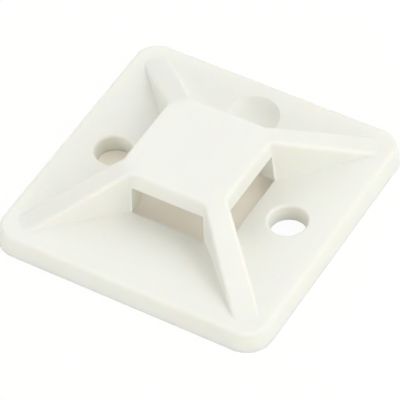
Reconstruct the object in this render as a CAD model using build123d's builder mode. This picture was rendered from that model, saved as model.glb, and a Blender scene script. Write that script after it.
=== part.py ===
# Cable tie mount: one moulded nylon piece. A square base plate with dished panels carries a raised
# square bridge on four diagonal ribs. Ties pass under the bridge both ways, and two screws hold the plate.
# Millimetres, +Z up out of the plate, origin at the centre of the flat underside.
from build123d import *
import os
from collections import Counter
from math import radians, sqrt, tan

os.makedirs("parts", exist_ok=True)

# Base plate
side = 28.0
rim_height = 2.1
corner_radius = 2.5
side_draft = 8.0
rim_round = 0.4

# Dish of the panels between the ribs: level beside the bridge, then curving up to the rim
dish_depth = 0.25
rim_land = 0.5

# Square bridge over the two crossing tie channels
bridge_width = 11.6
bridge_height = 6.6
bridge_draft = 4.0
roof_thickness = 1.75
slot_width = 7.45
post_round = 0.6
hollow_corner_round = 0.8

# Ribs along the diagonals
rib_width = 2.6
rib_draft = 2.0
bend_setback = 1.8
bend_round = 4.0
foot_setback = 3.6
foot_round = 5.0
run_out = 1.7
edge_round = 0.35
nook_round = 0.5
junction_round = 0.15

# Screw holes on the X axis, set in from halfway between the bridge and the plate's edge
hole_diameter = 3.55
hole_inset = 0.75
hole_round = 0.25

# Shallow round dimple between the bridge and the plate's +Y edge, measured at the rim's height
dimple_bridge_gap = 0.95
dimple_edge_gap = 1.75
dimple_depth = 1.0
dimple_round = 0.1

# Heights and places that follow from the sizes above
panel_height = rim_height - dish_depth
slot_top = bridge_height - roof_thickness
level_reach = bridge_width / 2 + 2 * junction_round
dish_end = side / 2 - rim_height * tan(radians(side_draft)) - rim_land
dish_radius = ((dish_end - level_reach) ** 2 + dish_depth**2) / (2 * dish_depth)
bend_at = bridge_width / sqrt(2) - bend_setback
rib_foot = side / sqrt(2) - foot_setback
rib_reach = rib_foot + run_out
panel_width = (side - bridge_width) / 2
hole_offset = (bridge_width + panel_width) / 2 - hole_inset
dimple_radius = (panel_width - dimple_bridge_gap - dimple_edge_gap) / 2
dimple_offset = bridge_width / 2 + dimple_bridge_gap + dimple_radius


def upright_plane(along):
    """The vertical plane through the origin that runs along a horizontal direction."""
    return Plane(origin=(0, 0, 0), x_dir=along, z_dir=(along[1], -along[0], 0))


def above_the_panels():
    """Everything above the dished panels: level in the middle, curving up to the rim on all four sides."""
    with BuildPart() as space:
        for along, mode in (((1, 0, 0), Mode.ADD), ((0, 1, 0), Mode.INTERSECT)):
            with BuildSketch(upright_plane(along)):
                with BuildLine():
                    Line((-level_reach, panel_height), (level_reach, panel_height))
                    RadiusArc((level_reach, panel_height), (dish_end, rim_height), -dish_radius)
                    Polyline(
                        (dish_end, rim_height),
                        (dish_end, bridge_height),
                        (-dish_end, bridge_height),
                        (-dish_end, rim_height),
                    )
                    RadiusArc((-dish_end, rim_height), (-level_reach, panel_height), -dish_radius)
                make_face()
            extrude(amount=side, both=True, mode=mode)
    return space.part


def under_the_roof_line(along):
    """Everything under the level bridge top and the slopes that run down one diagonal into the rim."""
    with BuildPart() as space:
        with BuildSketch(upright_plane(along)):
            with BuildLine():
                FilletPolyline(
                    (-rib_reach, panel_height),
                    (-rib_foot, rim_height),
                    (-bend_at, bridge_height),
                    (bend_at, bridge_height),
                    (rib_foot, rim_height),
                    (rib_reach, panel_height),
                    radius=(foot_round, bend_round, bend_round, foot_round),
                )
                Polyline(
                    (rib_reach, panel_height),
                    (rib_reach, -rim_height),
                    (-rib_reach, -rim_height),
                    (-rib_reach, panel_height),
                )
            make_face()
        extrude(amount=side, both=True)
    return space.part


def bridge_and_ribs():
    """The raised square and the four ribs, with rounded nooks between them and rounded top edges."""
    with BuildPart() as crown:
        with BuildSketch():
            Rectangle(bridge_width, bridge_width)
        extrude(amount=bridge_height, taper=bridge_draft)
        with BuildSketch():
            Rectangle(2 * rib_reach, rib_width, rotation=45)
            Rectangle(2 * rib_reach, rib_width, rotation=-45)
        extrude(amount=bridge_height, taper=rib_draft)
        uprights = crown.edges().filter_by(lambda edge: edge.bounding_box().size.Z > bridge_height / 2)
        fillet(uprights.group_by(SortBy.DISTANCE)[0], nook_round)

        add(under_the_roof_line((1, 1, 0)), mode=Mode.INTERSECT)
        add(under_the_roof_line((1, -1, 0)), mode=Mode.INTERSECT)
        roof = crown.faces().filter_by(lambda face: face.normal_at().Z > 0.5)
        uses = Counter(edge for face in roof for edge in face.edges())
        outline = [edge for edge, count in uses.items() if count == 1 and (edge @ 0.5).Z > panel_height]
        fillet(outline, edge_round)
    return crown.part


def tie_channels():
    """The square hollow in the plate's thickness and the crossing channels above it, up to the roof."""
    with BuildPart() as hollow:
        with BuildSketch():
            RectangleRounded(bridge_width, bridge_width, hollow_corner_round)
        extrude(amount=panel_height, taper=bridge_draft)
        with BuildSketch(Plane.XY.offset(panel_height)) as cross:
            Rectangle(2 * level_reach, slot_width)
            Rectangle(slot_width, 2 * level_reach)
            fillet(cross.vertices().group_by(SortBy.DISTANCE)[0], post_round)
        extrude(amount=slot_top - panel_height)
    return hollow.part


def dimple():
    """The space of the shallow round dimple, deepest at its middle, up to the rim's height."""
    floor = rim_height - dimple_depth
    with BuildPart() as lens:
        with BuildSketch(Plane.XZ.offset(-dimple_offset)):
            with BuildLine():
                TangentArc((0, floor), (dimple_radius, rim_height), tangent=(1, 0))
                Polyline((dimple_radius, rim_height), (0, rim_height), (0, floor))
            make_face()
        revolve(axis=Axis((0, dimple_offset, 0), (0, 0, 1)))
    return lens.part


with BuildPart() as mount_body:
    with BuildSketch():
        RectangleRounded(side, side, corner_radius)
    extrude(amount=rim_height, taper=side_draft)
    fillet(mount_body.faces().sort_by(Axis.Z)[-1].edges(), rim_round)
    add(above_the_panels(), mode=Mode.SUBTRACT)

    add(bridge_and_ribs())
    fillet(mount_body.edges(Select.NEW), junction_round)
    add(tie_channels(), mode=Mode.SUBTRACT)

    with BuildSketch():
        with Locations((-hole_offset, 0), (hole_offset, 0)):
            Circle(hole_diameter / 2)
    extrude(amount=rim_height, mode=Mode.SUBTRACT)
    mouths = mount_body.edges(Select.NEW).filter_by(lambda edge: (edge @ 0.5).Z > panel_height / 2)
    fillet(mouths, hole_round)

    add(dimple(), mode=Mode.SUBTRACT)
    brim = mount_body.edges(Select.NEW).filter_by(lambda edge: (edge @ 0.5).Z > panel_height - dimple_round)
    fillet(brim, dimple_round)

mount_body.part.label = "mount_body"
export_step(mount_body.part, "parts/mount_body.step")
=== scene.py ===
# Cable tie mount: a square moulded nylon plate with a raised bridge on four ribs, on a white table.
# The solid comes from model.glb as it is. This script adds its nylon, the table, the light and the camera.
from math import cos, radians, sin

import bpy
from mathutils import Matrix, Vector

MM = 0.001

# Camera
SENSOR_WIDTH = 36.0
IMAGE_WIDTH = 400
FOCAL_PIXELS = 3130
CAMERA_DISTANCE = 282.3 * MM
CAMERA_AZIMUTH = 33.6
CAMERA_ELEVATION = 47.7
CAMERA_ROLL = -4.15
CAMERA_TARGET = Vector((0.674, -1.211, 1.5)) * MM
CENTRE_SHIFT = (0.3, -0.85)

# Nylon
NYLON_DARK = (0.885, 0.868, 0.795, 1)
NYLON_LIGHT = (0.915, 0.898, 0.83, 1)
SCATTER_DEPTH = 0.6 * MM
SCATTER_RADIUS = (1.0, 0.75, 0.5)
SCATTER_SHARE = 0.6
NYLON_ROUGHNESS = 0.42
NYLON_IOR = 1.5
MOTTLE_SCALE = 260.0
GRAIN_SCALE = 9000.0
GRAIN_STRENGTH = 0.12
GRAIN_HEIGHT = 0.02 * MM

# Table, and a patch of painted shade on it under the mount that shows in the slots and the -X screw hole.
# The patch's warm colour is painted warm light from the nylon, its white share is painted light,
# and it stops at x = 6.5 mm so that the +X screw hole shows plain white.
# The white shares say how much of a surface is seen as plain white instead of its own colour.
TABLE_SIZE = 1.2
TABLE_DROP = 0.02 * MM
TABLE_COLOUR = (0.88, 0.86, 0.80, 1)
PAINTED_SHADE_COLOUR = (0.97, 0.89, 0.75, 1)
WHITE_SHARE = 0.9
SHADE_PAINTED_LIGHT_SHARE = 0.12
WHITE_STRENGTH = 1.02
PAINTED_SHADE_X = (-13.5 * MM, 6.5 * MM)
PAINTED_SHADE_Y = (-13.5 * MM, 13.5 * MM)

# Soft round lamps all round, as in a light tent: azimuth and elevation in degrees, then watts.
# Lamps under the lowest reflected elevation light the mount, but don't show in its reflections.
LAMP_DISTANCE = 0.5
LAMP_SIZE = 0.35
LOWEST_REFLECTED = 30
LAMP_COLOUR = (0.963, 0.99, 1.0)
LAMPS = (
    (0, 22, 0.46),
    (45, 22, 0.49),
    (90, 22, 0.66),
    (135, 22, 0.20),
    (180, 22, 0.23),
    (225, 22, 0.56),
    (315, 22, 0.68),
    (90, 55, 0.43),
    (135, 55, 0.65),
    (225, 55, 0.48),
    (315, 55, 0.26),
)

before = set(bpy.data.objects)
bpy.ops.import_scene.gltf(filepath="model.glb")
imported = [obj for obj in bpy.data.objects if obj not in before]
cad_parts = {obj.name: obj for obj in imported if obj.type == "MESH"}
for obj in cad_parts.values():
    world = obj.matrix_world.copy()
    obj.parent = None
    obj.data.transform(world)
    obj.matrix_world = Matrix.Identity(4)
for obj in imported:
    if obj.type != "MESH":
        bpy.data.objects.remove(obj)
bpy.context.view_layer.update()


def add_node(tree, kind, **values):
    """A shader node with its named inputs and properties set."""
    node = tree.nodes.new(kind)
    for name, value in values.items():
        if hasattr(node, name):
            setattr(node, name, value)
        else:
            node.inputs[name.replace("_", " ")].default_value = value
    return node


def nylon():
    """Natural nylon: ivory, softly translucent and satin, with a faint mottle and a fine moulded grain."""
    material = bpy.data.materials.new("natural_nylon")
    material.use_nodes = True
    tree = material.node_tree
    link = tree.links.new
    shader = tree.nodes["Principled BSDF"]
    shader.inputs["Roughness"].default_value = NYLON_ROUGHNESS
    shader.inputs["IOR"].default_value = NYLON_IOR
    shader.inputs["Subsurface Weight"].default_value = SCATTER_SHARE
    shader.inputs["Subsurface Scale"].default_value = SCATTER_DEPTH
    shader.inputs["Subsurface Radius"].default_value = SCATTER_RADIUS

    place = add_node(tree, "ShaderNodeTexCoord")
    mottle = add_node(tree, "ShaderNodeTexNoise", Scale=MOTTLE_SCALE, Detail=3.0)
    tint = add_node(tree, "ShaderNodeValToRGB")
    tint.color_ramp.elements[0].color = NYLON_DARK
    tint.color_ramp.elements[1].color = NYLON_LIGHT
    link(place.outputs["Object"], mottle.inputs["Vector"])
    link(mottle.outputs["Fac"], tint.inputs["Fac"])
    link(tint.outputs["Color"], shader.inputs["Base Color"])

    grain = add_node(tree, "ShaderNodeTexNoise", Scale=GRAIN_SCALE, Detail=2.0)
    bump = add_node(tree, "ShaderNodeBump", Strength=GRAIN_STRENGTH, Distance=GRAIN_HEIGHT)
    link(place.outputs["Object"], grain.inputs["Vector"])
    link(grain.outputs["Fac"], bump.inputs["Height"])
    link(bump.outputs["Normal"], shader.inputs["Normal"])
    return material


def direction(azimuth, elevation):
    """The unit vector towards a place seen from the origin; azimuth 0 is -Y and 90 is +X."""
    azimuth, elevation = radians(azimuth), radians(elevation)
    return Vector((sin(azimuth) * cos(elevation), -cos(azimuth) * cos(elevation), sin(elevation)))


def seen_directly(tree):
    """A socket that is 1 for rays that look at a surface, straight or reflected, and 0 for its light."""
    rays = add_node(tree, "ShaderNodeLightPath")
    total = rays.outputs["Is Camera Ray"]
    for name in ("Is Glossy Ray", "Is Transmission Ray"):
        add = add_node(tree, "ShaderNodeMath", operation="ADD", use_clamp=True)
        tree.links.new(total, add.inputs[0])
        tree.links.new(rays.outputs[name], add.inputs[1])
        total = add.outputs[0]
    return total


def table_material(name, colour, white_share):
    """A pale diffuse surface, of which the given share is seen as plain white; on the middle patch that
    white is painted light.
    """
    material = bpy.data.materials.new(name)
    material.use_nodes = True
    tree = material.node_tree
    link = tree.links.new
    tree.nodes.clear()
    surface = add_node(tree, "ShaderNodeBsdfDiffuse", Color=colour)
    white = add_node(tree, "ShaderNodeEmission", Strength=WHITE_STRENGTH)
    share = add_node(tree, "ShaderNodeMath", operation="MULTIPLY")
    share.inputs[1].default_value = white_share
    mix = add_node(tree, "ShaderNodeMixShader")
    output = add_node(tree, "ShaderNodeOutputMaterial")
    link(seen_directly(tree), share.inputs[0])
    link(share.outputs[0], mix.inputs["Fac"])
    link(surface.outputs[0], mix.inputs[1])
    link(white.outputs[0], mix.inputs[2])
    link(mix.outputs[0], output.inputs["Surface"])
    return material


def table():
    """The white table under the mount, with a middle patch of painted shade: a painted warm colour and a
    little painted light.
    """
    half = TABLE_SIZE / 2
    columns = (-half, *PAINTED_SHADE_X, half)
    rows = (-half, *PAINTED_SHADE_Y, half)
    points = [(x, y, -TABLE_DROP) for y in rows for x in columns]
    faces = []
    for row in range(3):
        for column in range(3):
            corner = row * 4 + column
            faces.append((corner, corner + 1, corner + 5, corner + 4))
    mesh = bpy.data.meshes.new("table")
    mesh.from_pydata(points, [], faces)
    mesh.materials.append(table_material("table_white", TABLE_COLOUR, WHITE_SHARE))
    # The middle patch is painted shade: a painted warm colour with a share of painted white light.
    mesh.materials.append(table_material("table_painted_shade", PAINTED_SHADE_COLOUR, SHADE_PAINTED_LIGHT_SHARE))
    mesh.polygons[len(faces) // 2].material_index = 1
    top = bpy.data.objects.new("table", mesh)
    bpy.context.scene.collection.objects.link(top)


def light():
    """Soft lamps all round, in a room that is seen as white but gives no light of its own."""
    world = bpy.data.worlds.new("room")
    world.use_nodes = True
    tree = world.node_tree
    tree.links.new(seen_directly(tree), tree.nodes["Background"].inputs["Strength"])
    tree.nodes["Background"].inputs["Color"].default_value = (1, 1, 1, 1)
    bpy.context.scene.world = world
    for azimuth, elevation, watts in LAMPS:
        towards = direction(azimuth, elevation)
        data = bpy.data.lights.new(f"lamp_{azimuth}_{elevation}", "AREA")
        data.shape = "DISK"
        data.size = LAMP_SIZE
        data.color = LAMP_COLOUR
        data.energy = watts
        lamp = bpy.data.objects.new(data.name, data)
        lamp.location = towards * LAMP_DISTANCE
        lamp.rotation_euler = (-towards).to_track_quat("-Z", "Y").to_euler()
        lamp.visible_glossy = elevation > LOWEST_REFLECTED
        bpy.context.scene.collection.objects.link(lamp)


def camera():
    """The camera at the photograph's place, aimed and rolled as it was."""
    roll = radians(CAMERA_ROLL)
    backward = direction(CAMERA_AZIMUTH, CAMERA_ELEVATION)
    level = direction(CAMERA_AZIMUTH + 90, 0)
    upright = backward.cross(level)
    across = cos(roll) * level + sin(roll) * upright
    up = -sin(roll) * level + cos(roll) * upright

    data = bpy.data.cameras.new("camera")
    data.sensor_width = SENSOR_WIDTH
    data.lens = FOCAL_PIXELS / IMAGE_WIDTH * SENSOR_WIDTH
    data.shift_x = CENTRE_SHIFT[0] / IMAGE_WIDTH
    data.shift_y = CENTRE_SHIFT[1] / IMAGE_WIDTH
    data.clip_start = CAMERA_DISTANCE / 10
    viewer = bpy.data.objects.new("camera", data)
    pose = Matrix((across, up, backward)).transposed().to_4x4()
    pose.translation = CAMERA_TARGET + CAMERA_DISTANCE * backward
    viewer.matrix_world = pose
    bpy.context.scene.collection.objects.link(viewer)
    bpy.context.scene.camera = viewer


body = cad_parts["mount_body"]
for index in range(len(body.data.materials)):
    body.data.materials[index] = nylon()

table()
light()
camera()
bpy.context.scene.view_settings.view_transform = "Standard"
